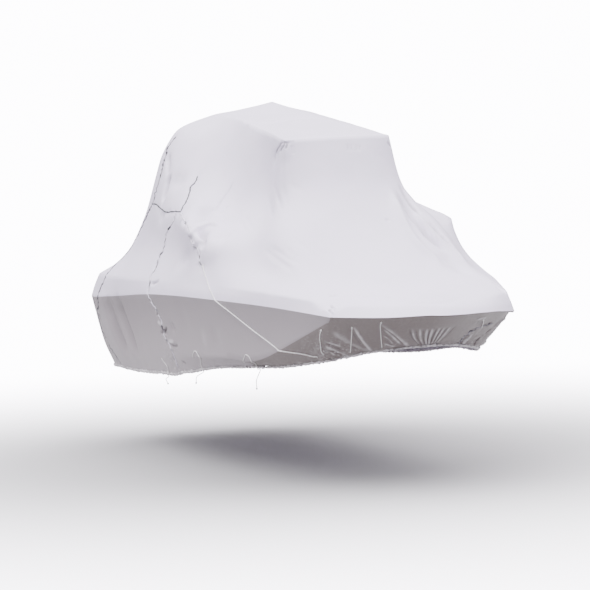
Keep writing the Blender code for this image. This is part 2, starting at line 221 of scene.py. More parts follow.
# The film keeps its sharpest creases on the chine, the rail, the lip at the bow and the deck's edge aft
# of it. It is soft over the shoulder, where the windshield's corner holds it up.
TUCK_FROM = 1.72  # ahead of this the film is tucked under the hull
DECK_CREASE, LIP_CREASE, CORNER_ROOM = 0.8, 0.9, 0.05
SHOULDER, SHOULDER_REACH, SHOULDER_FOOT = Vector((0.85, -1.0, -0.95)), 0.6, -1.3
SHOULDER_CREASE = 0.1
# The tucked-under bow is marked here, to be painted darker as shade.
tucked = skin.faces.layers.float.new("tucked")
for face in skin.faces:
    top_row = max(rows_of(face))
    middle = face.calc_center_median()
    if top_row <= RAIL_ROW:
        face.material_index += BELOW_RAIL
    under = top_row <= (RAIL_ROW if middle.x > BOW_FACE else CHINE_ROW)
    face[tucked] = 1.0 if under and middle.x > TUCK_FROM else 0.0
for edge in skin.edges:
    rows = set(rows_of(edge))
    middle = (edge.verts[0].co + edge.verts[1].co) / 2
    past_corner = middle.x > BOW_CORNER.x - CORNER_ROOM
    if rows == {CHINE_ROW} and CHINE_XS[0] < middle.x < BOW_FACE:
        edge[creases] = 1.0
    if rows == {DECK_ROW} and not past_corner:
        edge[creases] = max(edge[creases], DECK_CREASE)
    if rows == {LIP_ROW} and past_corner:
        edge[creases] = max(edge[creases], LIP_CREASE)
    if rows == {RAIL_ROW}:
        edge[creases] = 1.0
    if (middle - SHOULDER).length < SHOULDER_REACH and middle.z > SHOULDER_FOOT:
        edge[creases] *= SHOULDER_CREASE
skin = rounded(skin, ROUNDING)

# The folds that stay in the film once it has shrunk: puckers under the corners of the top, ridges that
# run down from the windshield's corners, creases on the tucked-under bow and dents in the skirt. Each row
# is a fold's width, its depth, and the points of its path (x, y, z after each other), in centimetres.
TOP_FOLDS = (
    (1.1, -2, 116, -44, -29, 108, -45, -33, 100, -45, -38),
    (0.8, 0.6, 120, -44, -29, 114, -45, -34, 108, -45, -37),
    (0.9, -1.3, 124, -44, -30, 119, -45, -33, 116, -45, -36), (0.8, -0.8, 125, -42, -30, 126, -44, -34),
    (1.3, -0.5, 126, -39, -31, 127, -39, -35, 129, -39, -39),
    (0.9, -0.7, 114, -44, -29, 125, -43, -29, 125, -39, -29), (4.5, -1.6, 104, -45, -38, 96, -45, -43),
    (6, -0.6, 124, -48, -40, 129, -49, -49),
    (2.6, -1.3, -1, -39, -5, 27, -32, -8, 35, -19, -8, 26, 2, -5, 23, 20, -4),
    (5, -1, 23, -40, -9, 63, -40, -16), (1.2, -0.3, 128, 7, -31, 132, 6, -37),
    (1.2, -0.3, 129, 10, -31, 132, 9, -37), (1.2, -0.3, 129, 14, -31, 132, 13, -37),
    (1.2, -0.3, 129, 17, -32, 132, 16, -37), (1.4, -0.3, 129, 25, -32, 134, 25, -42),
    (1.4, -0.3, 129, 30, -34, 134, 30, -43), (1.4, -0.3, 132, 33, -40, 134, 34, -44),
    (1.6, -0.8, 179, 17, -92, 179, 20, -92),
)
SIDE_FOLDS = (
    (2, -0.4, 108, -48, -61, 131, -53, -72, 142, -55, -78),
    (1.8, -0.4, 131, -50, -62, 139, -50, -71, 148, -52, -79),
    (2, -0.4, 98, -50, -70, 117, -55, -78, 143, -62, -87),
    (1.8, -0.4, 129, -53, -72, 139, -55, -77, 148, -56, -82), (1.8, -0.3, 136, -44, -60, 143, -42, -68),
    (1.8, -0.3, 140, -41, -62, 146, -39, -69), (2, -0.3, 91, -72, -88, 113, -77, -93, 127, -79, -98),
    (1.8, -0.3, 92, -68, -86, 113, -72, -91, 128, -75, -96),
    (3.7, 0.3, 100, -48, -62, 116, -51, -70, 136, -57, -79),
    (2.5, -0.6, 163, -77, -111, 190, -73, -121, 207, -69, -128),
    (2.2, -0.6, 166, -74, -109, 190, -69, -117, 206, -64, -123),
    (2.2, -0.5, 184, -67, -111, 192, -65, -115, 200, -64, -119),
    (2.2, -0.5, 185, -57, -106, 196, -53, -113, 206, -50, -120), (2.5, -0.4, 190, -51, -108, 203, -44, -116),
    (3.7, -0.3, 152, -22, -70, 165, -21, -82),
)
AFT_FOLDS = (
    (8.5, -4.5, 40, -85, -77, 47, -91, -81, 60, -100, -88),
    (1.8, 2.8, 75, -111, -99, 82, -111, -98, 80, -106, -95, 78, -102, -94, 77, -96, -92, 78, -91, -92, 87,
     -88, -93),
    (4, 1.6, 59, -85, -85, 63, -85, -86),
    (5, -5, 80, -100, -94, 86, -101, -95.5, 96, -106, -99, 100, -108, -104, 96, -109, -109),
    (2.8, -1.4, 83, -101, -95, 95, -106, -99, 99, -108, -103),
    (7, -1.6, 104, -105, -100, 113, -99, -100, 122, -92, -101),
    (9, 2, 105, -107, -111, 115, -105, -113, 126, -100, -112), (1.4, 1.4, 86, -110, -106.5, 89, -110, -107),
    (7, -1.8, 78, -110, -115, 61, -111, -119, 47, -114, -124),
    (1.4, -0.9, 51, -81, -81, 42, -72, -72, 39, -65, -65, 36, -58, -56),
    (1.4, -0.6, 59, -79, -83, 54, -70, -77), (2.6, -3.2, -78, -82, -29, -66, -86, -38, -59, -88, -46),
    (3, -5.2, -54, -88, -48, -51, -92, -56, -49, -94, -63, -46, -97, -69),
    (7, -2.1, -45, -88, -51, -29, -87, -54, -21, -83, -53), (5, -1.2, -46, -101, -82, -27, -102, -85),
    (1.4, -1.4, 3, -123, -139, 12, -122, -138, 20, -121, -136),
)
PORT_FOLDS = (
    (3.4, 3.2, 153, 34, -71, 161, 33, -79, 176, 32, -90, 192, 32, -103, 206, 35, -114, 217, 40, -122, 231,
     40, -130),
    (3.4, -4.4, 149, 41, -70, 159, 42, -79, 173, 43, -90, 182, 46, -97, 191, 48, -104, 198, 52, -111, 206,
     56, -117),
    (2.2, 2.8, 168, 45, -86, 181, 50, -97, 194, 55, -109, 205, 62, -118, 220, 67, -128),
    (1.6, -2.4, 141, 45, -65, 149, 47, -72, 159, 48, -81, 169, 50, -88),
    (1.8, -2, 176, 55, -94, 186, 59, -104, 198, 65, -114, 202, 70, -120),
    (6, -2.4, 210, 48, -119, 223, 54, -127, 241, 56, -135),
    (1.4, -1.2, 273, 66, -143, 280, 67, -145, 285, 68, -147), (1.4, -1, 260, 68, -140, 264, 73, -143),
)
RAIL_FOLDS = (
    (1.6, -1.3, 262, -62, -145, 264, -60, -145, 263, -57, -145),
    (2, -0.6, 268, -65, -146, 270, -54, -146, 283, -28, -147, 297, -25, -149, 309, -16, -151, 314, 1, -152,
     310, 14, -150, 293, 37, -147),
    (1, -0.8, 278, -68, -149, 285, -68, -152), (1, 0.8, 279, -67, -149, 286, -67, -152),
    (1, -0.8, 282, -71, -152, 288, -70, -157), (1, 0.8, 283, -69, -152, 289, -69, -157),
    (1, -0.7, 285, -68, -153, 289, -68, -156),
)
SKIRT_FOLDS = (
    (22, 3, -210, -114, -175, -170, -117, -178, -120, -118, -180),
    (10, -5, -140, -126, -153, -135, -123, -166, -131, -121, -178, -124, -118, -190, -115, -116, -204),
    (10, -6, -112, -126, -153, -101, -123, -168, -93, -120, -180, -86, -118, -191, -82, -114, -204),
    (5, -1.3, 131, -110, -171, 133, -108, -179, 134, -107, -186), (4, 0.9, 114, -112, -174, 113, -110, -187),
    (6, -0.9, 77, -119, -159, 81, -116, -177),
)
STAR_FOLDS = (
    (1.2, -2.4, 17, -120, -175, 23, -119, -178, 30, -119, -180),
    (1.2, -2.1, 34, -119, -174, 23, -119, -178, 13, -119, -180), (3, -1.8, 42, -119, -173, 53, -118, -174),
    (1.4, 1.2, 18, -120, -173, 13, -121, -170), (1.4, -1.8, 29, -117, -188, 40, -116, -189, 52, -116, -188),
    (1.4, 1.2, 30, -118, -186, 46, -117, -186), (1.6, -1.5, 0, -124, -152, 4, -124, -153),
    (1.8, -1.8, 13, -122, -163, 15, -122, -165), (1.2, -1.5, 27, -113, -200, 31, -112, -202, 32, -111, -204),
    (1.2, -1.2, 47, -111, -202, 52, -109, -203),
)
BOW_FOLDS = (
    (2, 0.9, 279, -66, -171, 277, -58, -176, 275, -51, -180),
    (1.4, 0.55, 275, -51, -180, 273, -43, -183, 271, -35, -186),
    (0.9, 0.66, 292, -55, -168, 282, -45, -178, 272, -35, -185, 270, -32, -187),
    (1, -0.55, 289, -56, -169, 280, -48, -178, 274, -41, -183), (1.2, -0.55, 272, -48, -182, 267, -44, -186),
    (0.7, 0.39, 266, -67, -178, 268, -62, -180, 268, -56, -182),
    (0.7, 0.39, 262, -66, -181, 263, -61, -184, 262, -55, -187, 261, -48, -189),
    (0.7, 0.39, 257, -66, -184, 259, -62, -186, 258, -57, -188),
    (0.7, -0.39, 264, -67, -179, 265, -61, -182, 265, -54, -185),
    (0.7, -0.39, 259, -66, -183, 261, -59, -186, 260, -53, -189),
    (1.2, 0.72, 305, -39, -167, 296, -26, -174, 284, -13, -181, 278, -7, -184),
    (0.8, 0.44, 301, -36, -169, 294, -27, -175, 283, -16, -181),
    (0.8, -0.55, 303, -38, -168, 295, -26, -174, 283, -14, -181),
    (0.7, -0.39, 295, -33, -173, 284, -21, -180),
    (0.7, 0.33, 293, -33, -174, 289, -27, -177, 283, -22, -181),
    (0.7, -0.39, 288, -31, -177, 281, -22, -182), (0.7, 0.33, 283, -29, -180, 279, -19, -183),
)
PORT_BOW_FOLDS = (
    (0.8, 0.9, 306, 33, -165, 306, 37, -164, 303, 42, -164), (0.8, -0.9, 301, 36, -167, 295, 44, -167),
    (1, 1, 266, 41, -185, 271, 40, -182, 278, 42, -177),
    (0.8, -1.7, 267, 53, -180, 262, 52, -183, 258, 53, -186),
    (0.8, -1.2, 269, 57, -177, 271, 59, -175, 271, 61, -174),
    (1.1, 1.2, 252, 60, -188, 250, 64, -186, 246, 68, -184),
    (2.1, 1.4, 271, 63, -173, 274, 67, -169, 270, 73, -166), (1.4, -0.9, 265, 62, -177, 256, 72, -175),
)
STERN_FOLDS = (
    (8, -2.2, -110, -45, -45, -155, -72, -95, -205, -90, -125),
    (7, -2.2, -100, 10, -25, -135, 5, -75, -195, -5, -115),
    (6, 1.4, -100, 25, -25, -140, 38, -80, -200, 55, -118),
    (5, -1.8, -274, 30, -162, -270, 28, -185, -266, 26, -210),
    (5, -1.8, -274, -42, -158, -272, -40, -180, -264, -36, -210),
)

# The bow's film is gathered to one point of its hem, so pleats fan up from there. Each row is how far to
# port a pleat's upper end is, its width and its depth, in centimetres.
PLEATS = (
    (-19, 0.6, -0.54), (-16.5, 0.6, 0.3), (-14, 0.6, -0.54), (-10.5, 0.6, 0.36),
    (-8, 0.66, -0.66), (-5, 0.72, 0.84), (-3, 0.6, -0.66), (-1, 0.72, 0.84),
    (2, 0.6, -0.66), (4.5, 0.66, 0.54), (6.5, 0.6, -0.54), (8.5, 0.66, 0.42),
    (11, 0.66, -0.48), (13.5, 0.7, 0.3), (17.5, 0.77, -0.36),
)
FAN_MIDDLE = (306, 0, -170, 292, 3.5, -177, 280, 7.5, -183.5)  # at its top, halfway and at its foot
FAN_SPREAD = (1.0, 0.75, 0.42)  # how much of its upper end's distance a pleat keeps at each of them
PORT_DEPTH = 0.8  # the folds to port are this much of those to starboard
Fold = namedtuple("Fold", "width depth path")


def metres(centimetres):
    return [round(number / 100, 5) for number in centimetres]


def path_of(centimetres):
    """A path in metres, from the numbers of its points."""
    spots = metres(centimetres)
    return tuple(zip(spots[::3], spots[1::3], spots[2::3]))


def folds_of(rows):
    return [Fold(*metres(row[:2]), path_of(row[2:])) for row in rows]


folds = folds_of(TOP_FOLDS + SIDE_FOLDS + AFT_FOLDS + PORT_FOLDS + RAIL_FOLDS + SKIRT_FOLDS + STAR_FOLDS)
folds += folds_of(BOW_FOLDS + PORT_BOW_FOLDS + STERN_FOLDS)
for port, width, depth in map(metres, PLEATS):
    path = [(x, y + port * share, z) for (x, y, z), share in zip(path_of(FAN_MIDDLE), FAN_SPREAD)]
    folds.append(Fold(width, depth, path))
for fold in folds_of(SKIRT_FOLDS + AFT_FOLDS[-3:] + TOP_FOLDS[:4] + SIDE_FOLDS[:4]):
    folds.append(Fold(fold.width, fold.depth * PORT_DEPTH, [(x, -y, z) for x, y, z in fold.path]))


def curved(points, step):
    """Evenly spread points on a smooth curve through a path's own points."""
    knots = [np.array(point, float) for point in points]
    ends = [2 * knots[0] - knots[1]] + knots + [2 * knots[-1] - knots[-2]]
    line = []
    for before, start, end, after in zip(ends, ends[1:], ends[2:], ends[3:]):
        count = max(1, round(float(np.linalg.norm(end - start)) / step))
        for i in range(count):
            t = i / count
            bend = 2 * start + (end - before) * t + (2 * before - 5 * start + 4 * end - after) * t**2
            line.append((bend + (3 * start - before - 3 * end + after) * t**3) / 2)
    return np.array(line + [knots[-1]])


def laid(line, tree, height=0.0):
    """A line of points set on the film, at a height above it."""
    spots = [tree.find_nearest(Vector(point)) for point in line]
    return np.array([place + normal * height for place, normal, _, _ in spots])


def length_of(line):
    return float(np.linalg.norm(np.diff(line, axis=0), axis=1).sum())


def beside(points, line, reach):
    """Which points lie within reach of a line, how far off they are, and how far along it."""
    near = np.all((points > line.min(0) - reach) & (points < line.max(0) + reach), axis=1).nonzero()[0]
    off = np.full(len(near), np.inf)
    along = np.zeros(len(near))
    done = 0.0
    for start, end in zip(line, line[1:]):
        run = end - start
        length = float(np.linalg.norm(run))
        share = np.clip((points[near] - start) @ run / max(length**2, 1e-12), 0, 1)
        distance = np.linalg.norm(points[near] - start - share[:, None] * run, axis=1)
        closer = distance < off
        off[closer] = distance[closer]
        along[closer] = done + share[closer] * length
        done += length
    kept = off < reach
    return near[kept], off[kept], along[kept]


# The welds, where the panels were drawn together and melted with a hot iron. Each runs over the film as a
# puckered, uneven line. The first three join the panels, and the others are darts. Their paths are in
# centimetres, as are a mark's height and half its length, which go before the darkness of its painted
# shadow and its width.
STERN_WELD = path_of((
    -86, -72, -13, -90, -79, -22, -85, -84, -33, -80, -89, -49, -82, -93, -62, -94, -95, -74, -107, -97,
    -85, -124, -99, -98, -136, -104, -110, -153, -110, -122, -160, -124, -140, -172, -126, -154, -179, -122,
    -166, -187, -118, -179, -184, -116, -190, -180, -112, -202, -177, -105, -215,
))
WAIST_WELD = path_of((
    -88, -95, -71, -61, -98, -73, -30, -100, -79, -10, -100, -79, 2, -100, -79, 16, -99, -80,
))
QUARTER_WELD = path_of((
    5, -101, -80, 4, -103, -87, -5, -104, -92, -14, -104, -99, -12, -106, -107, -12, -109, -114, -14, -111,
    -117, -7, -117, -128, -7, -120, -132, -3, -123, -139, -2, -125, -146, 2, -124, -152, 8, -123, -157, 15,
    -122, -163, 21, -120, -174, 24, -118, -184, 32, -116, -193, 31, -113, -200, 28, -110, -208,
))
UPPER_DART = path_of((
    -10, -76, -50, -6, -80, -56, -6, -83, -60, 2, -88, -65, 9, -93, -71, 12, -96, -77, 15, -99, -79,
))
LOWER_DART = path_of((
    16, -100, -81, 49, -106, -88, 61, -107, -91, 77, -111, -96, 78, -111, -101, 86, -110, -108, 94, -109,
    -111, 100, -110, -120, 109, -110, -126,
))
BOW_DART = path_of((
    264, 37, -187, 275, 36, -181, 284, 38, -175, 285, 45, -172, 283, 55, -168,
))
QUARTER_MARKS = (
    (-93, 1.4, 1, 2.2), (-98.5, 0.6, 0.6, 1), (-103.5, 1.8, 1, 2.8),
    (-109.5, 0.8, 0.9, 1.5), (-114, 1.4, 1, 2.6), (-117.5, 0.7, 0.9, 1.4),
    (-125, 5, 0.9, 0.8), (-139, 2, 1, 1.8), (-161, 1.2, 0.8, 1.5),
    (-174.5, 1.8, 1, 2.4), (-185.5, 1.2, 0.8, 1.8), (-193, 1, 0.6, 1),
)
DART_MARKS = (
    (-89.5, 1, 0.8, 1.2), (-100, 0.8, 0.6, 1), (-109, 0.6, 0.55, 1.4),
    (-117, 1.2, 0.9, 1.3), (-122, 1.4, 0.9, 1),
)
PORT_STERN_WELD = [(x, -y, z) for x, y, z in STERN_WELD]
PORT_DART = [(x - 0.25, -y, z) for x, y, z in UPPER_DART]
# A weld's name, the darkness of its painted shadow, how much of it is dashed, its width, puckering, path and
# marks.
Weld = namedtuple("Weld", "name scorch dashed width pucker path marks")
WELDS = (
    Weld("stern_weld", 1.0, 0.25, 1.7, 1.0, STERN_WELD, ()),
    Weld("waist_weld", 1.0, 0.0, 0.85, 0.6, WAIST_WELD, ()),
    Weld("quarter_weld", 0.15, 0.0, 1.0, 1.0, QUARTER_WELD, QUARTER_MARKS),
    Weld("upper_dart", 1.0, 0.0, 1.1, 0.4, UPPER_DART, ()),
    Weld("lower_dart", 0.1, 0.0, 0.9, 0.9, LOWER_DART, DART_MARKS),
    Weld("bow_dart", 0.9, 0.4, 1.2, 1.0, BOW_DART, ()),
    Weld("port_stern_weld", 1.0, 0.3, 1.3, 1.0, PORT_STERN_WELD, ()),
    Weld("port_dart", 0.95, 0.3, 0.9, 0.5, PORT_DART, ()),
)
WELD_STEP = 0.012
WELD_WANDER, WANDER_SIZE = 0.006, 0.05  # how far a weld strays to each side, and how often
PUCKER_REACH = 0.075


def wandering(line, seed):
    """A line that strays a little, as a weld made by hand does."""
    strays = [noise.noise_vector(Vector((i * WELD_STEP / WANDER_SIZE, seed, 0.0))) for i in range(len(line))]
    return line + np.array(strays) * WELD_WANDER


LEAST_STEP = 0.02
rough_tree = BVHTree.FromBMesh(skin)
fold_lines = [laid(curved(fold.path, max(fold.width, LEAST_STEP)), rough_tree) for fold in folds]
weld_lines = [
    laid(wandering(curved(weld.path, WELD_STEP), seed), rough_tree) for seed, weld in enumerate(WELDS)
]

# The skin gets a finer net along narrow folds, the welds and the hem, so that these are smooth.
FINE_FOLD, FOLD_BAND, FOLD_ROOM = 0.8, 2.2, 0.01  # the first two in widths of the fold
FINE_WELD, WELD_BAND = 0.010, PUCKER_REACH * 0.7
FINE_HEM, HEM_BAND = 0.015, 0.075
COARSE, SPLIT_PAST = 1.0, 1.35  # an edge is split where it is this much longer than wanted
following = {}
for edge in skin.edges:
    if edge.is_boundary:
        for vert in edge.verts:
            following.setdefault(vert, []).append(edge.other_vert(vert))
hem_verts = [min(following, key=lambda vert: vert.co.x)]
while len(hem_verts) < len(following):
    hem_verts.append(next(vert for vert in following[hem_verts[-1]] if vert not in hem_verts[-2:]))
hem_path = np.array([vert.co for vert in hem_verts + hem_verts[:1]])
fine_lines = [(line, fold.width * FOLD_BAND + FOLD_ROOM, fold.width * FINE_FOLD)
              for fold, line in zip(folds, fold_lines)]
fine_lines += [(line, WELD_BAND, FINE_WELD) for line in weld_lines] + [(hem_path, HEM_BAND, FINE_HEM)]
for _ in range(3):
    middles = np.array([(edge.verts[0].co + edge.verts[1].co) / 2 for edge in skin.edges])
    lengths = np.array([edge.calc_length() for edge in skin.edges])
    wanted = np.full(len(lengths), COARSE)
    for line, band, fineness in fine_lines:
        near, _, _ = beside(middles, line, band)
        wanted[near] = np.minimum(wanted[near], fineness)
    split = [edge for edge, length, most in zip(skin.edges, lengths, wanted) if length > most * SPLIT_PAST]
    bmesh.ops.subdivide_edges(skin, edges=split, cuts=1, use_grid_fill=True)
skin.normal_update()

# The film's relief is slow swells all over it, the folds, and puckers along the welds, round their feet
# and up from the hem. The lift is where it is drawn up or pressed in; it is painted into the film's colour
# as highlights on raised folds and shade in hollows.
SWELLS = ((0.005, 0.5, 1), (0.0022, 0.16, 2))  # height, size and seed
FOLD_REACH, FOLD_FADE, FOLD_END = 2.6, 5.0, 0.15  # in widths, and how a fold dies away at its ends
NARROW, SLENDER, BROAD = 0.0125, 0.025, 0.095  # widths of folds
BREAK, BREAK_SIZE, BREAK_SEED = 0.7, 0.045, 7  # how unevenly a slender fold shows
NARROW_SHADING, BROAD_SHADING = 1.9, 2.2
PUCKER_RISE, SWELL_RISE, WELD_SINK, PUCKER_SHADING = 0.013, 0.010, 0.005, 0.7
PUCKER_SIZES, SWELL_SIZES = (0.024, 0.06), (0.09, 0.12)  # along a weld, and across it
WELD_SEEDS = 9.0
WELD_FEET = ((0.22, -1.12, -2.02), (-1.93, -1.05, -2.10), (2.58, -0.60, -1.90), (2.62, 0.42, -1.86))
FOOT_REACH, FOOT_RISE, FOOT_SHADING, FOOT_SIZE = 0.17, 0.010, 0.8, 0.03
HEM_RISE, HEM_SHADING, HEM_CRINKLE, HEM_SIZES = 0.010, 0.6, 0.7, (0.035, 0.03)
points = np.array([vert.co for vert in skin.verts])
normals = np.array([vert.normal for vert in skin.verts])
rise, crinkle, lift = (np.zeros(len(points)) for _ in range(3))


def unevenness(places, size, seed):
    """A smooth uneven value from -1 to 1 at each place, for lumps of about a size."""
    shift = Vector((seed * 7.3, seed * 3.1, seed * 5.7))
    return np.array([noise.noise(Vector(place) / size + shift) for place in places])


def crimps(along, off, sizes, shift, seed):
    """An uneven value beside a line, for lumps of a size along it and across it."""
    return unevenness(np.column_stack((along / sizes[0], off / sizes[1], along * 0 + shift)), 1.0, seed)


def puckered(near, spread, lumps, height, shading, crinkled=1.0):
    """Adds puckers to the points near something, and their painted highlights and shade."""
    rise[near] += height * lumps * spread
    lift[near] += shading * lumps * spread
    crinkle[near] = np.maximum(crinkle[near], spread * crinkled)


for height, size, seed in SWELLS:
    rise += height * unevenness(points, size, seed)
for fold, line in zip(folds, fold_lines):
    near, off, along = beside(points, line, fold.width * FOLD_REACH)
    share = along / length_of(line)
    fade = np.clip(np.minimum(share, 1 - share) * FOLD_FADE + FOLD_END, 0, 1)
    shape = fade * np.exp(-((off / fold.width) ** 2))
    rise[near] += fold.depth * shape
    broken = 1 + (BREAK if fold.width < SLENDER else 0.0) * unevenness(points[near], BREAK_SIZE, BREAK_SEED)
    shading_gain = NARROW_SHADING if fold.width < NARROW else BROAD_SHADING if fold.width > BROAD else 1.0
    # A fold's lift paints a highlight on its raised side and shade in its hollow.
    lift[near] += fold.depth * shape / fold.width * broken * shading_gain
for seed, (weld, line) in enumerate(zip(WELDS, weld_lines)):
    near, off, along = beside(points, line, PUCKER_REACH * 1.6)
    spread = np.exp(-((off / (PUCKER_REACH / 2)) ** 2)) * weld.pucker
    rise[near] += (SWELL_RISE * crimps(along, off, SWELL_SIZES, seed * WELD_SEEDS, 4) - WELD_SINK) * spread
    puckers = crimps(along, off, PUCKER_SIZES, seed * WELD_SEEDS, 3)
    puckered(near, spread, puckers, PUCKER_RISE, PUCKER_SHADING)
for foot in WELD_FEET:
    away = np.linalg.norm(points - np.array(foot), axis=1)
    near = (away < FOOT_REACH * 2.2).nonzero()[0]
    spread = np.exp(-((away[near] / FOOT_REACH) ** 2))
    puckered(near, spread, unevenness(points[near], FOOT_SIZE, 8), FOOT_RISE, FOOT_SHADING)
near, off, along = beside(points, hem_path, HEM_BAND * 1.4)
spread = np.exp(-((off / (HEM_BAND / 2)) ** 2))
puckered(near, spread, crimps(along, off, HEM_SIZES, 0.0, 6), HEM_RISE, HEM_SHADING, HEM_CRINKLE)

for vert, place in zip(skin.verts, points + normals * rise[:, None]):
    vert.co = place
# The lift goes with the film as an attribute, for its painted highlights and shade.
for name, values in (("crinkle", crinkle), ("lift", lift)):
    layer = skin.verts.layers.float.new(name)
    for vert, value in zip(skin.verts, values):
        vert[layer] = float(value)
skin.normal_update()
film_tree = BVHTree.FromBMesh(skin)

# Each face goes to the panel whose side of the welds it lies on.
stern_side = sorted((z, x) for x, _, z in STERN_WELD)
quarter_side = sorted((z, x) for x, _, z in QUARTER_WELD)
waist_side = sorted((x, z) for x, _, z in WAIST_WELD)
# Faces under the rail keep a mark, by which the skirt is painted darker as shade.
below_layer = skin.faces.layers.float.new("below")
for face in skin.faces:
    middle = face.calc_center_median()
    below = face.material_index >= BELOW_RAIL
    face[below_layer] = 1.0 if below else 0.0
    aft_of_weld = middle.x < np.interp(middle.z, *zip(*stern_side))
    was_stern = face.material_index % BELOW_RAIL == STERN
    under_waist = middle.z < np.interp(middle.x, *zip(*waist_side))
    if aft_of_weld if middle.z < stern_side[-1][0] else was_stern:
        face.material_index = STERN
    elif middle.y < 0 and under_waist and middle.x < np.interp(middle.z, *zip(*quarter_side)):
        face.material_index = QUARTER
    else:
        face.material_index = SKIRT if below else UPPER


class Maths:
    """A shader value that takes part in Python sums."""

    def __init__(self, tree, socket=None):
        self.tree = tree
        self.socket = socket

    def node(self, kind, settings=(), output=0, **values):
        """A node of a kind, with its settings and then its inputs, as one of its outputs."""
        made = self.tree.nodes.new(kind)
        for key, value in dict(settings).items():
            setattr(made, key, value)
        for key, value in values.items():
            socket = made.inputs[int(key[1:])] if key[0] == "i" and key[1:].isdigit() else made.inputs[key]
            if isinstance(value, Maths):
                self.tree.links.new(value.socket, socket)
            else:
                socket.default_value = value
        return Maths(self.tree, made.outputs[output])

    def into(self, made, name):
        """Leads the value into a node's input."""
        self.tree.links.new(self.socket, made.inputs[name])

    def sum(self, operation, *values):
        inputs = {f"i{i}": value for i, value in enumerate(values)}
        return self.node("ShaderNodeMath", {"operation": operation}, **inputs)

    def __add__(self, other):
        return self.sum("ADD", self, other)

    def __sub__(self, other):
        return self.sum("SUBTRACT", self, other)

    def __rsub__(self, other):
        return self.sum("SUBTRACT", other, self)

    def __mul__(self, other):
        return self.sum("MULTIPLY", self, other)

    def clamp(self, low, high):
        return self.sum("MINIMUM", self.sum("MAXIMUM", self, low), high)

    __radd__ = __add__
    __rmul__ = __mul__


def new_finish(name, roughness, coat=0.0):
    """A material, its shader, and a start for its sums."""
    finish = bpy.data.materials.new(name)
    finish.use_nodes = True
    shader = finish.node_tree.nodes["Principled BSDF"]
    shader.inputs["Roughness"].default_value = roughness
    shader.inputs["Coat Weight"].default_value = coat
    return finish, shader, Maths(finish.node_tree)


def mixed(start, factor, one, other):
    """A colour part of the way from one to another."""
    return start.node("ShaderNodeMix", {"data_type": "RGBA"}, 2, i0=factor, i6=one, i7=other)


def place_of(start):
    return start.node("ShaderNodeTexCoord", output="Object")


def attribute(start, name):
    return start.node("ShaderNodeAttribute", {"attribute_name": name}, "Fac")


def clouds(start, place, scale, detail=3.0, rough=0.5):
    return start.node("ShaderNodeTexNoise", Vector=place, Scale=scale, Detail=detail, Roughness=rough)


def bumped(start, shader, height, distance, strength):
    start.node("ShaderNodeBump", Strength=strength, Distance=distance, Height=height).into(shader, "Normal")


FILM_WHITE, FILM_MILKY = (0.82, 0.765, 0.91, 1.0), (0.77, 0.72, 0.86, 1.0)
# The skirt and the tucked-under bow are painted darker than the film over the rail, as painted shade.
SKIRT_SHADE, SKIRT_LOW_SHADE = (0.31, 0.28, 0.30, 1.0), (0.40, 0.36, 0.385, 1.0)
SKIRT_MIDDLE, SKIRT_BLEND = -1.52, 2.2  # below this height the skirt's painted shade turns paler, and how fast
UNDER_SHADE = (0.195, 0.165, 0.16, 1.0)
# The colours of painted shade in hollows and of painted highlights on raised folds.
PAINTED_SHADE, PAINTED_HIGHLIGHT = (0.10, 0.085, 0.09, 1.0), (0.78, 0.76, 0.79, 1.0)
LIGHT_TOP, LIGHT_BELOW, MOST_LIGHT = 0.05, 0.55, 0.6  # how strongly a raised fold is painted lighter, over and under the rail
# The painted shade in hollows: how it grows with the lift, the lift it starts from, and its most.
SHADE, LEAST_SHADE, MOST_SHADE = -0.35, 0.08, 0.45
GLINT_FLECKS, SHADE_FLECKS = (0.58, 9.0, 0.75), (0.45, 8.0, 0.6)  # painted glints and painted shade in the crinkles: from where, how sharply, and how strongly
TUCKED_FLECKS, TUCKED_CREASES, TUCKED_GLOSS = 0.10, 0.45, 0.12  # what the tucked-under film adds


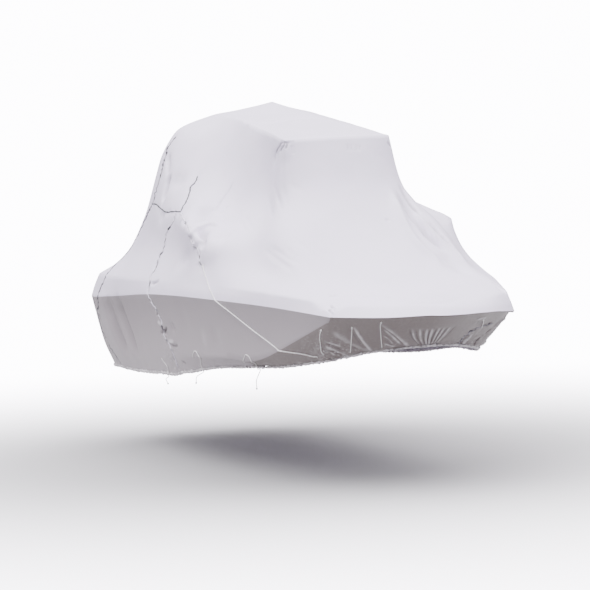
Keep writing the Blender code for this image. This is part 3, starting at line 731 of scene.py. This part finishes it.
def film_finish():
    """White shrink film: satin, a little uneven in thickness, finely creased near welds and hem, and with
    painted shade, highlights and glints.
    """
    finish, shader, start = new_finish("film", 0.36, 0.12)
    place = place_of(start)
    milky = clouds(start, place, 2.2, 4.0)
    fine = clouds(start, place, 60.0, 4.0, 0.6)
    squashed = start.node("ShaderNodeMapping", Vector=place, Scale=(1.0, 1.0, 0.5))
    creased = clouds(start, squashed, 34.0, 5.0, 0.62)
    flecks = clouds(start, place, 52.0, 5.0, 0.65)
    under, below, fold_light_shade = (attribute(start, name) for name in ("tucked", "below", "lift"))
    near_weld = attribute(start, "crinkle")
    height = start.node("ShaderNodeSeparateXYZ", output="Z", Vector=place)

    # The skirt under the rail and the tucked-under bow get painted shade, which turns paler lower down the
    # skirt.
    low = ((SKIRT_MIDDLE - height) * SKIRT_BLEND).clamp(0.0, 1.0)
    colour = mixed(start, ((milky - 0.42) * 3.0).clamp(0.0, 1.0), FILM_WHITE, FILM_MILKY)
    colour = mixed(start, below, colour, mixed(start, low, SKIRT_SHADE, SKIRT_LOW_SHADE))
    colour = mixed(start, under, colour, UNDER_SHADE)
    # Raised folds are painted lighter as highlight, and hollows darker as shade.
    light = (fold_light_shade * (below * LIGHT_BELOW + LIGHT_TOP)).clamp(0.0, MOST_LIGHT)
    colour = mixed(start, light, colour, PAINTED_HIGHLIGHT)
    colour = mixed(start, (fold_light_shade * SHADE - LEAST_SHADE).clamp(0.0, MOST_SHADE), colour, PAINTED_SHADE)
    # Near welds, the hem and on the tucked-under film, flecks are painted as glints and as crinkle shade.
    flecked = (near_weld + under * TUCKED_FLECKS).clamp(0.0, 1.0)
    above_level, sharpness, most = GLINT_FLECKS
    colour = mixed(start, ((flecks - above_level) * sharpness).clamp(0.0, most) * flecked, colour, PAINTED_HIGHLIGHT)
    below_level, sharpness, most = SHADE_FLECKS
    dark = ((below_level - flecks) * sharpness).clamp(0.0, most) * flecked * flecked
    mixed(start, dark, colour, PAINTED_SHADE).into(shader, "Base Color")

    (0.36 + milky * 0.16 + fine * 0.06 - under * TUCKED_GLOSS).into(shader, "Roughness")
    creasing = (near_weld + under * TUCKED_CREASES).clamp(0.0, 1.0)
    bumped(start, shader, fine * 0.10 + milky * 0.5 + creased * (creasing * 1.6 + 0.05), 0.004, 0.8)
    shader.inputs["Coat Roughness"].default_value = 0.25
    shader.inputs["IOR"].default_value = 1.5
    return finish


# The sheets of film: the main panel over the top and sides, its skirt under the rail, and the panels of
# the quarter and the stern. Each is cut off the skin along the welds and given the film's thickness.
SHEETS = (
    ("upper_film", "main_film", UPPER, (5.6, 6.4), 14.5),
    ("quarter_sheet", "quarter_film", QUARTER, (2.3, 1.9), 2.9),
    ("stern_sheet", "stern_film", STERN, (4.6, 3.4), 8.0),
    ("skirt_film", "main_film", SKIRT, (9.6, 0.75), 5.0),
)
FILM_THICKNESS = 0.002
film = film_finish()
for name, node, panel, flat, area in SHEETS:
    part = skin.copy()
    others = [face for face in part.faces if face.material_index != panel]
    bmesh.ops.delete(part, geom=others, context="FACES")
    for face in part.faces:
        face.material_index = 0
        face.smooth = True
    for edge in part.edges:
        edge.smooth = not edge.is_boundary
    piece = placed(name, data_of(name, part))
    piece.data.materials.append(film)
    thickness = piece.modifiers.new("thickness", "SOLIDIFY")
    thickness.thickness = FILM_THICKNESS
    thickness.offset = -1.0
    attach(piece, "root")
    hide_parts(node)

# The weld strips: the film's lapped edge along each weld, melted into an uneven bead by the iron. It is
# painted dark as the shadow under its lapped edge, in dashes on some welds and at a few marks on others.
STRIP_WIDTH, STRIP_HEIGHT, STRIP_SIDES, STRIP_GAP = 0.013, 0.005, 8, 0.0005
STRIP_END = 0.3  # the share of its width at its ends
BEAT_SIZE, SWELL_SIZE, STRIP_SEEDS, SWELL_SEED = 0.035, 0.09, 5.0, 4.0
WIDTH_BEAT, HEIGHT_SWELL = 0.6, 0.9
DASH_FROM, DASH_SHARPNESS, MARK_SHARPNESS = 0.12, 6, 1.8
# The strip's white, and the dark of its painted shadow.
STRIP_WHITE, STRIP_SHADOW = (0.84, 0.80, 0.90, 1.0), (0.012, 0.012, 0.02, 1.0)
TUBE_SEAM = 0.000001


def tube(rings, closed=False):
    """A body through rings of points: a grid that is wrapped round, and closed at its ends."""
    around = len(rings[0])
    rows = list(rings) + [rings[0]] if closed else list(rings)
    mesh = bmesh.new()
    bmesh.ops.create_grid(mesh, x_segments=around, y_segments=len(rows) - 1, size=1.0)
    mesh.verts.ensure_lookup_table()
    for row, ring in enumerate(rows):
        for column in range(around + 1):
            mesh.verts[row * (around + 1) + column].co = ring[column % around]
    bmesh.ops.remove_doubles(mesh, verts=mesh.verts, dist=TUBE_SEAM)
    if not closed:
        bmesh.ops.holes_fill(mesh, edges=[edge for edge in mesh.edges if edge.is_boundary], sides=0)
    bmesh.ops.recalc_face_normals(mesh, faces=mesh.faces)
    return mesh


def outs_at(line):
    """The film's outward direction at each point of a line."""
    return np.array([film_tree.find_nearest(Vector(point))[1] for point in line])


def frames(line, outs, closed=False):
    """For each point of a line, the directions to its side and outwards."""
    runs = np.roll(line, -1, 0) - np.roll(line, 1, 0) if closed else np.gradient(line, axis=0)
    runs /= np.linalg.norm(runs, axis=1)[:, None]
    sides = np.cross(runs, outs)
    sides /= np.linalg.norm(sides, axis=1)[:, None]
    return sides, np.cross(sides, runs)


def finished(name, mesh, finish, node_names):
    """An object from a bmesh, smooth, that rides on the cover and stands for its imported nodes."""
    piece = placed(name, data_of(name, mesh))
    piece.data.shade_smooth()
    piece.data.materials.append(finish)
    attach(piece, "root")
    if node_names:
        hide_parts(*node_names)
    return piece


strip_finish, shader, start = new_finish("weld", 0.35, 0.2)
# The strip is painted dark where the shadow under its lapped edge falls.
mixed(start, attribute(start, "scorch").clamp(0.0, 1.0), STRIP_WHITE, STRIP_SHADOW).into(shader, "Base Color")
bumped(start, shader, clouds(start, place_of(start), 150.0, 4.0, 0.6), 0.002, 0.7)
for seed, (weld, line) in enumerate(zip(WELDS, weld_lines)):
    base = laid(line, film_tree)
    sides, ups = frames(base, outs_at(line))
    rings, painted_shadows = [], []
    for i, (middle, side, up) in enumerate(zip(base, sides, ups)):
        beat = noise.noise(Vector((i * WELD_STEP / BEAT_SIZE, seed * STRIP_SEEDS, 0.0)))
        swell = noise.noise(Vector((i * WELD_STEP / SWELL_SIZE, seed * STRIP_SEEDS, SWELL_SEED)))
        marked = []
        for *heights, darkness, broader in weld.marks:
            centre, half_length = metres(heights)
            marked.append((math.exp(-(((middle[2] - centre) / half_length) ** 2)), darkness, broader))
        width = STRIP_WIDTH / 2 * (1 + WIDTH_BEAT * beat) * weld.width
        width *= 1 + max([(broader - 1) * share for share, _, broader in marked] + [0.0])
        width *= STRIP_END if i in (0, len(base) - 1) else 1.0
        height = STRIP_HEIGHT * (1 + HEIGHT_SWELL * swell)
        angles = [math.tau * turn / STRIP_SIDES for turn in range(STRIP_SIDES)]
        rings.append(
            [middle + side * math.cos(a) * width + up * (math.sin(a) * height + STRIP_GAP) for a in angles]
        )
        # Dashes and marks of painted shadow along the strip.
        dash = 1 - weld.dashed * (1 - min(1.0, max(0.0, (beat + DASH_FROM) * DASH_SHARPNESS)))
        mark_shadows = [darkness * min(1.0, share * MARK_SHARPNESS) for share, darkness, _ in marked]
        painted_shadows.append(max([weld.scorch * dash] + mark_shadows))
    mesh = tube(rings)
    layer = mesh.verts.layers.float.new("scorch")
    for vert in mesh.verts:
        nearest = int(((base - np.array(vert.co)) ** 2).sum(axis=1).argmin())
        vert[layer] = float(painted_shadows[nearest])
    finished(weld.name, mesh, strip_finish, ())

# The rolled hem: the film's lower edge, turned out and up over a cord that draws it tight under the hull,
# and shrunk with the torch into a crinkly roll. It runs all the way round.
HEM_STEP, HEM_SIDES = 0.010, 10
LINE_PASSES, OUT_PASSES = 3, 4  # how often its line and its outward directions are evened out
HEM_LOOK_UP = (0, 0, 0.02)  # its outward directions are those of the film just over it
HALF_TALL, HALF_THICK = 0.012, 0.009
TALL_SWELL, TALL_CRIMP, THICK_CRIMP = 0.7, 0.6, 0.5
HEM_LUMP, CRIMP_SCALE, CRIMP_SHIFT = 0.028, 2.3, Vector((9.0, 0.0, 0.0))
HEM_OUT, SIDE_SWAY, OUT_SWAY = 0.004, 0.006, 0.004
WRINKLE, WRINKLE_SIZE, WRINKLE_TURN = 0.35, 0.02, 0.9
# The hem is painted greyer than the film, as it lies in shade, with darker painted shade in its crinkles.
HEM_PALE, HEM_CREASE_SHADE = (0.70, 0.67, 0.70, 1.0), (0.20, 0.18, 0.19, 1.0)
marks_at = np.concatenate(([0.0], np.cumsum(np.linalg.norm(np.diff(hem_path, axis=0), axis=1))))
steps = np.arange(0.0, marks_at[-1], HEM_STEP)
hem_line = np.column_stack([np.interp(steps, marks_at, hem_path[:, i]) for i in range(3)])
for _ in range(LINE_PASSES):
    hem_line = (np.roll(hem_line, 1, 0) + 2 * hem_line + np.roll(hem_line, -1, 0)) / 4
hem_outs = outs_at(hem_line + HEM_LOOK_UP)
for _ in range(OUT_PASSES):
    hem_outs = (np.roll(hem_outs, 1, 0) + hem_outs + np.roll(hem_outs, -1, 0)) / 3
hem_sides, hem_ups = frames(hem_line, hem_outs, closed=True)
if hem_sides[:, 2].mean() < 0:
    hem_sides = -hem_sides
rings = []
for middle, side, out in zip(hem_line, hem_sides, hem_ups):
    spot = middle / HEM_LUMP
    swell = noise.noise(Vector(spot))
    crimp = noise.noise(Vector(spot) * CRIMP_SCALE + CRIMP_SHIFT)
    tall = HALF_TALL * (1 + TALL_SWELL * swell + TALL_CRIMP * crimp)
    thick = HALF_THICK * (1 + THICK_CRIMP * crimp)
    centre = middle + side * (HEM_OUT + SIDE_SWAY * swell) + out * (HEM_OUT + OUT_SWAY * swell)
    ring = []
    for turn in range(HEM_SIDES):
        angle = math.tau * turn / HEM_SIDES
        lump = Vector((middle[0] / WRINKLE_SIZE, middle[1] / WRINKLE_SIZE, turn * WRINKLE_TURN))
        wrinkle = 1 + WRINKLE * noise.noise(lump)
        ring.append(centre + (side * math.sin(angle) * tall + out * math.cos(angle) * thick) * wrinkle)
    rings.append(ring)
hem_finish, shader, start = new_finish("hem", 0.3, 0.3)
place = place_of(start)
# Patches of painted shade in the hem's crinkles.
shade_patches = ((clouds(start, place, 40.0, 3.0) - 0.45) * 4.0).clamp(0.0, 1.0)
mixed(start, shade_patches, HEM_PALE, HEM_CREASE_SHADE).into(shader, "Base Color")
bumped(start, shader, clouds(start, place, 120.0, 5.0, 0.6), 0.003, 0.9)
finished("rolled_hem", tube(rings, closed=True), hem_finish, PANELS)

# The cords: a white two-strand cord that comes out of the film above the rail and runs down to the hem at
# the bow, three ties that hang from the skirt's hem, and four short ones knotted under the bow. Each has
# its points on the film, those it hangs through below the hem, in centimetres, and which end is knotted.
SIDE_CORD, TIE_CORD, CORD_GAP = 0.009, 0.006, 0.0006
CORD_SIDES, CORD_STEP, TWIST_LAY, STRAND = 12, 0.006, 4.5, 0.10  # a twist's length is in widths of the cord
KNOT = ((0.0, 1.0), (0.003, 1.9), (0.008, 2.3), (0.013, 1.9), (0.016, 0.8))  # distances, and shares of width
KNOT_START, KNOT_SUNK = 0.002, 0.9
ROLL_REACH, ROLL_UP, ROLL_DOWN = 0.019, 0.016, 0.008
CORD_WHITE, CORD_GREY = (0.93, 0.92, 0.91, 1.0), (0.74, 0.73, 0.72, 1.0)
CORDS = (
    ("side_cord", SIDE_CORD,
     (107.6, -109.5, -122.9, 114.3, -110, -128.3, 131.3, -111.7, -139.6, 139.8, -112.3, -144.4, 145, -111.9,
      -148.5, 148.5, -111.2, -150.3, 164.2, -106, -157.8, 183.5, -99.1, -167.7, 201.2, -92.6, -176.6, 215.3,
      -87.5, -183.6, 219.6, -85.9, -185.7, 235.4, -76, -187.6, 242.2, -69.1, -189.1, 246, -66, -189.7),
     (), None),
    ("hem_tie_1", TIE_CORD,
     (-0.7, -114.7, -201.2, 1.3, -112.7, -205, 4, -111.2, -207.8, 2.7, -110, -210.8),
     (-2.5, -111.2, -219, 1.2, -110.8, -222.2), "end"),
    ("hem_tie_2", TIE_CORD,
     (80.3, -111.1, -196.6, 84.5, -112.3, -192.9, 87.4, -112.3, -191.3, 90.5, -111.9, -191.4, 93.2, -111.2,
      -193.8, 93.9, -109.7, -196.6, 84.4, -106, -201.2, 80, -104.5, -203.6),
     (69, -105.5, -213, 66.5, -105.5, -217.8), "end"),
    ("hem_tie_3", TIE_CORD,
     (165, -95.7, -195.3, 170.9, -97.6, -192.4, 172.7, -97.5, -190.7, 174.8, -96.9, -190.6, 178.1, -95.7,
      -192.6, 177.9, -92.2, -196.2, 172.5, -89, -198.6),
     (165, -86.8, -211, 164.5, -86.6, -217), "end"),
    ("bow_tie_1", TIE_CORD,
     (272.1, -72.8, -169.9, 267.1, -71.9, -173.4, 259.8, -68.8, -179.9, 254.1, -66.1, -185.3, 253.2, -64.5,
      -187.3), (), "start"),
    ("bow_tie_2", TIE_CORD,
     (290.8, -56.2, -168.1, 280.7, -52.8, -175.4, 273.3, -50.4, -180.8, 265, -48, -186.5), (), "start"),
    ("bow_tie_3", TIE_CORD,
     (307.4, -40.5, -164.5, 304.3, -39.9, -166.6, 295.2, -36.1, -172.3, 277.5, -28.5, -182.9), (), "start"),
    ("bow_tie_4", TIE_CORD,
     (303.7, 40, -164.1, 294, 43.9, -167.9, 283.6, 47.3, -172.4), (), "start"),
)
cord_finish, shader, start = new_finish("cord", 0.6)
place = place_of(start)
mixed(start, clouds(start, place, 90.0, 3.0), CORD_WHITE, CORD_GREY).into(shader, "Base Color")
bumped(start, shader, clouds(start, place, 700.0, 3.0, 0.6), 0.001, 0.6)


def over_roll(point, radius):
    """Two points that take a cord over the roll of the hem."""
    i = int(((hem_line - point) ** 2).sum(axis=1).argmin())
    top = hem_line[i] + hem_ups[i] * (ROLL_REACH + radius)
    return [top + hem_sides[i] * ROLL_UP, top - hem_sides[i] * ROLL_DOWN]


def wound(line, outs, radius, shares, lifts):
    """Rings of a two-strand twisted cord along a line, with a share of its width at each point."""
    made = []
    for i, (middle, side, up, share, lift) in enumerate(zip(line, *frames(line, outs), shares, lifts)):
        twist = math.tau * i * CORD_STEP / (radius * 2 * TWIST_LAY)
        ring = []
        for turn in range(CORD_SIDES):
            angle = math.tau * turn / CORD_SIDES
            reach = radius * share * (1 + STRAND * math.cos(2 * angle - twist))
            ring.append(middle + up * lift + (side * math.cos(angle) + up * math.sin(angle)) * reach)
        made.append(ring)
    return made


for name, diameter, on_film, below_hem, knot in CORDS:
    radius = diameter / 2
    knots = laid(path_of(on_film), film_tree, radius + CORD_GAP)
    line = laid(curved(knots, CORD_STEP), film_tree, radius + CORD_GAP)
    if below_hem:
        rest = [line[-1], *over_roll(line[-1], radius), *path_of(below_hem)]
        line = np.vstack((line[:-1], curved(rest, CORD_STEP)))
    if knot:
        end = line if knot == "end" else line[::-1]
        along = (end[-1] - end[-2]) / np.linalg.norm(end[-1] - end[-2])
        spots = np.array([end[-1] + along * (distance - KNOT_START) for distance, _ in KNOT])
        shares = [share for _, share in KNOT]
        lifts = [0.0 if below_hem else (share - KNOT_SUNK) * radius for share in shares]
        knotted = wound(spots, outs_at([end[-1]] * len(KNOT)), radius, shares, lifts)
        knot_piece = finished(name + "_knot", tube(knotted), cord_finish, (name,))
    rings = wound(line, outs_at(line), radius, [1.0] * len(line), [0.0] * len(line))
    piece = finished(name + "_line", tube(rings), cord_finish, (name,))
    if below_hem:
        round(length_of(line), 3)

# The floor, plain and pale, which fades into the background some way off. The cover hangs over it at the
# height that a boat on its trailer would give it.
FLOOR_HEIGHT, FLOOR_SIZE, FLOOR_REACH, FLOOR_SHIFT = -2.893, 80.0, 12, 0.241
FLOOR_EDGE, FLOOR_GREY = 1.15, (0.38, 0.38, 0.38, 1.0)
floor_mesh = bmesh.new()
bmesh.ops.create_grid(floor_mesh, x_segments=1, y_segments=1, size=FLOOR_SIZE)
bmesh.ops.translate(floor_mesh, verts=floor_mesh.verts, vec=(0, 0, FLOOR_HEIGHT))
floor = placed("floor", data_of("floor", floor_mesh))
floor_finish, shader, start = new_finish("floor", 0.9)
shader.inputs["Base Color"].default_value = FLOOR_GREY
scales, shift = (1 / FLOOR_REACH,) * 3, (0.0, 0.0, FLOOR_SHIFT)
shrunk = start.node("ShaderNodeMapping", Vector=place_of(start), Location=shift, Scale=scales)
gradient = start.node("ShaderNodeTexGradient", {"gradient_type": "SPHERICAL"}, Vector=shrunk)
near = (gradient * FLOOR_EDGE).clamp(0.0, 1.0)
inner = near * near * (3.0 - near * 2.0)
clear = start.node("ShaderNodeBsdfTransparent")
solid = Maths(start.tree, shader.outputs[0])
blend = start.node("ShaderNodeMixShader", i0=inner, i1=clear, i2=solid)
blend.into(start.tree.nodes["Material Output"], "Surface")
floor.data.materials.append(floor_finish)

# The light of an overcast sky, brightest overhead, with two broad, weak suns: one from ahead of the
# starboard side, and one that fills in from astern of it. The sky is seen as an even white.
SKY_TOP, SKY_LOW, SKY_SEEN = 7.0, 0.15, 14.0
SKY_COLOUR = (1.0, 0.97, 1.04, 1.0)
SUNS = (("lamp", 1.0, 35, (0.2, -0.6, 1.0)), ("fill", 0.9, 60, (-0.7, -0.8, 0.6)))
world = bpy.data.worlds.new("sky")
world.use_nodes = True
bpy.context.scene.world = world
start = Maths(world.node_tree)
direction = start.node("ShaderNodeTexCoord", output="Generated")
up = start.node("ShaderNodeSeparateXYZ", output="Z", Vector=direction).clamp(0.0, 1.0)
seen = start.node("ShaderNodeLightPath", output="Is Camera Ray")
strength = (up * up * SKY_TOP + SKY_LOW) * (1 - seen) + seen * SKY_SEEN
background = start.tree.nodes["Background"]
background.inputs["Color"].default_value = SKY_COLOUR
strength.into(background, "Strength")
for name, energy, spread, towards in SUNS:
    sun = bpy.data.lights.new(name, "SUN")
    sun.energy = energy
    sun.angle = math.radians(spread)
    placed(name, sun).rotation_euler = Vector(towards).to_track_quat("Z", "Y").to_euler()
